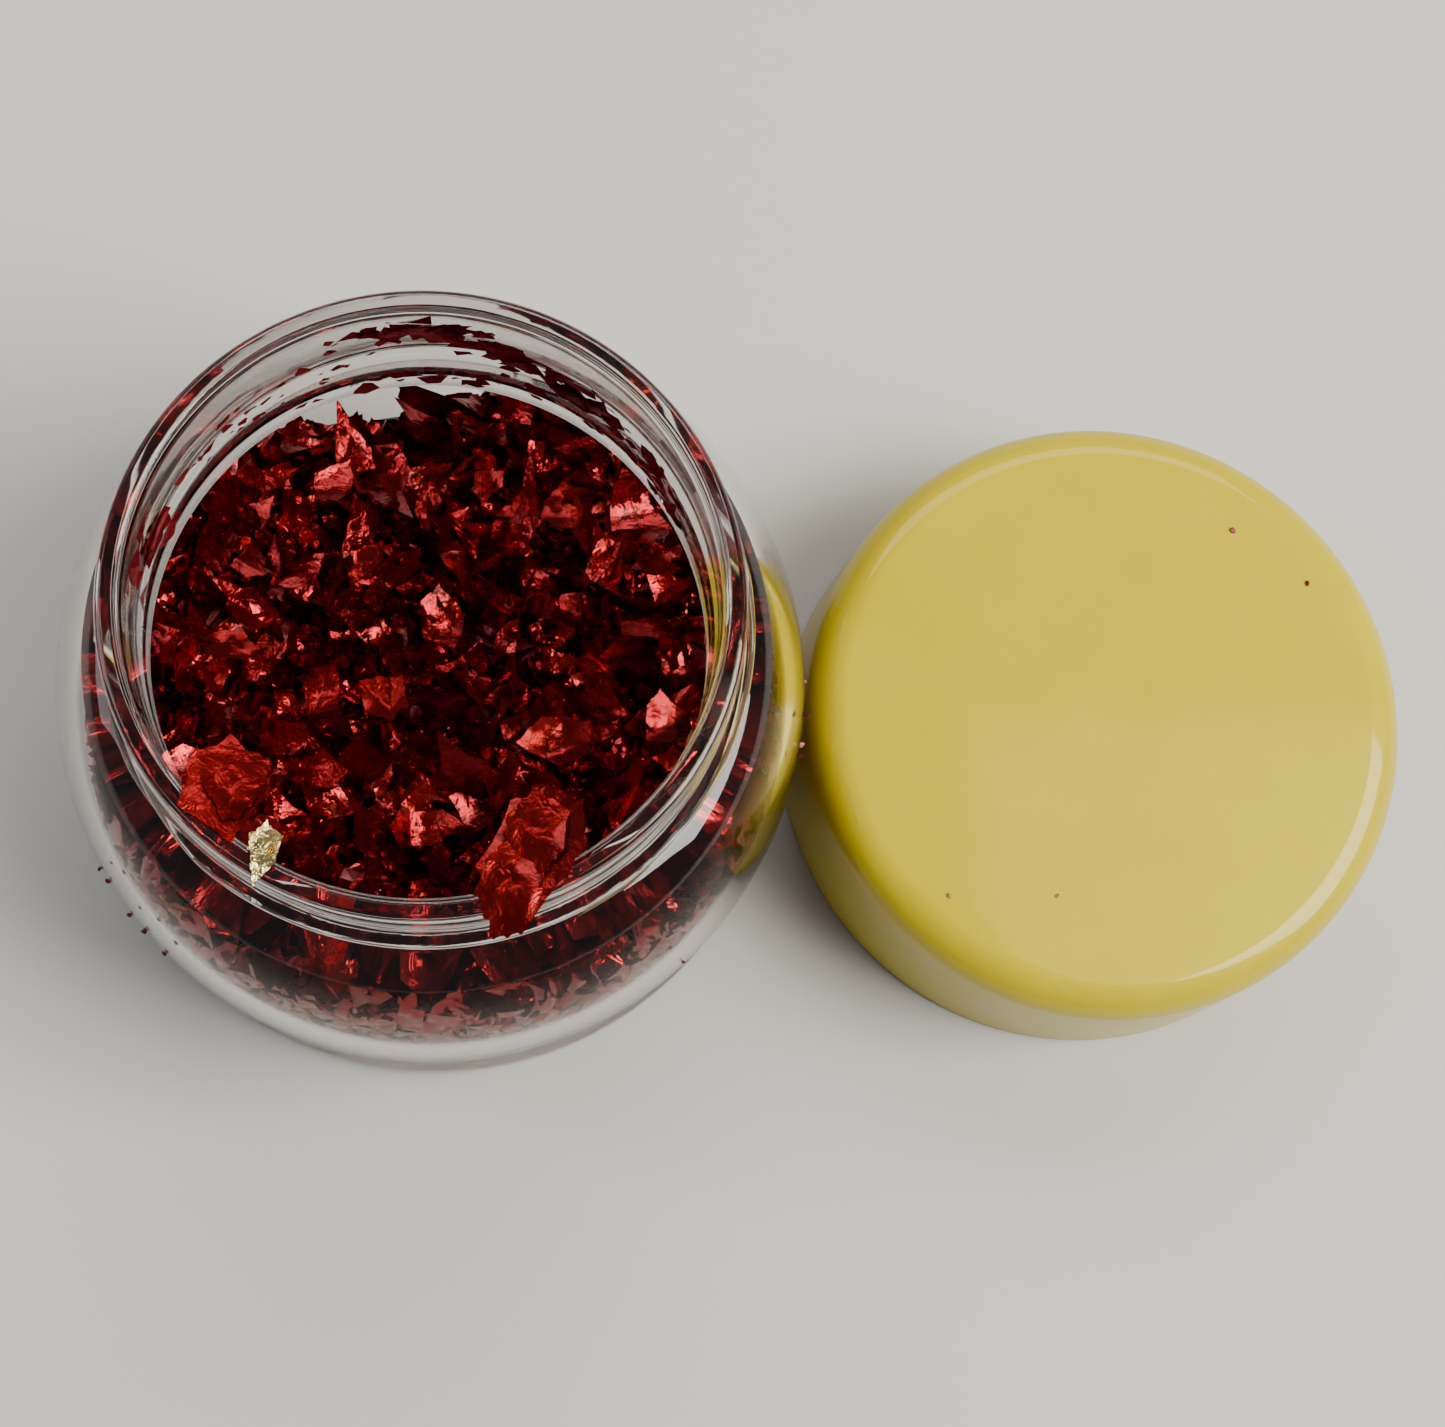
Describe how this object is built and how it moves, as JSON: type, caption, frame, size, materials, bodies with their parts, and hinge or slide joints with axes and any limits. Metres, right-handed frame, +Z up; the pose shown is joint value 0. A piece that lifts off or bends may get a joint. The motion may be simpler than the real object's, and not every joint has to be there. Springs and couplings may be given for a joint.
{
  "type": "sample jar",
  "caption": "Squat clear jar with a short threaded neck, filled with crumpled red foil flakes, its round screw cap standing beside it.",
  "frame": {"origin": "centre of the jar's foot, on the surface it stands on", "axes": "+Z up along the jar's axis; +X towards the cap that stands beside the jar; -Y towards the near side, where the flakes are heaped"},
  "size_m": [0.0659, 0.0348, 0.0313],
  "materials": {
    "clear_glass": "clear gloss",
    "yellow_cap": "gloss with a fine orange-peel texture",
    "liner_foam": "matt foamed sheet",
    "red_foil": "thin metallised red film, crumpled, mirror bright",
    "gold_foil": "crumpled foil",
    "dark_foil": "the same film, lying in shade or against the light"
  },
  "bodies": {
    "jar": {"jar": "clear_glass", "foil_heap": "red_foil", "rim_flake_left": "red_foil", "rim_flake_gold": "gold_foil", "rim_flake_right": "red_foil", "jar_crumbs": "dark_foil", "pile_flake_01": "red_foil", "pile_flake_02": "red_foil", "pile_flake_03": "red_foil", "pile_flake_04": "red_foil", "pile_flake_05": "red_foil", "pile_flake_06": "red_foil", "pile_flake_07": "red_foil", "pile_flake_08": "red_foil", "pile_flake_09": "red_foil", "pile_flake_10": "red_foil", "pile_flake_11": "red_foil", "pile_flake_12": "red_foil", "neck_flake_01": "dark_foil", "neck_flake_02": "dark_foil", "neck_flake_03": "dark_foil", "neck_flake_04": "dark_foil", "neck_flake_05": "dark_foil", "neck_flake_06": "dark_foil", "neck_flake_07": "dark_foil", "neck_flake_08": "dark_foil"},
    "liner": {"cap_liner": "liner_foam"},
    "cap": {"cap_shell": "yellow_cap", "cap_crumbs": "dark_foil"}
  },
  "joints": [
    {"name": "cap_lift", "type": "slide", "parent": "jar", "child": "liner", "axis": [0, 0, 1], "range_m": [0, 0.036]},
    {"name": "cap_turn", "type": "hinge", "parent": "liner", "child": "cap", "pos_m": [0.0331, 0, 0], "axis": [0, 0, 1], "continuous": true}
  ]
}
